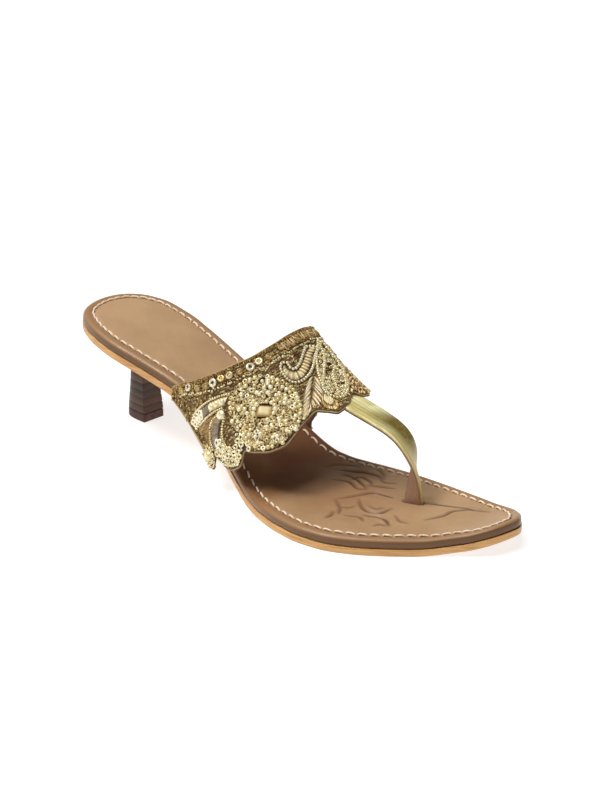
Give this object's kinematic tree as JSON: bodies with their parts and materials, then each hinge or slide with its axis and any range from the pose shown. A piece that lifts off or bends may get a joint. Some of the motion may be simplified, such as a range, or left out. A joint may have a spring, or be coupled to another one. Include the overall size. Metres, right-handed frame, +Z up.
{
  "type": "kitten heel thong sandal",
  "caption": "Slip-on thong sandal for the right foot with a low stacked heel, a beaded band over the instep and a twisted strap between the toes.",
  "frame": {"origin": "on the floor, under the middle of the shoe's bounding box", "axes": "+X towards the toe, +Y towards the big toe side of the right shoe, +Z up"},
  "size_m": [0.253, 0.08, 0.0667],
  "materials": {
    "outsole_leather": "natural tan leather with a smooth trimmed edge",
    "insole_leather": "matte tan leather with a darker rolled rim",
    "heel_stack": "stacked leather stained dark brown",
    "top_piece_rubber": "matte reddish brown rubber",
    "upper_gold": "gold metallic leather and dense embroidery with a brown lining"
  },
  "bodies": {
    "root": {"outsole": "outsole_leather", "insole": "insole_leather", "heel": "heel_stack", "heel_top_piece": "top_piece_rubber", "upper": "upper_gold"}
  },
  "joints": []
}
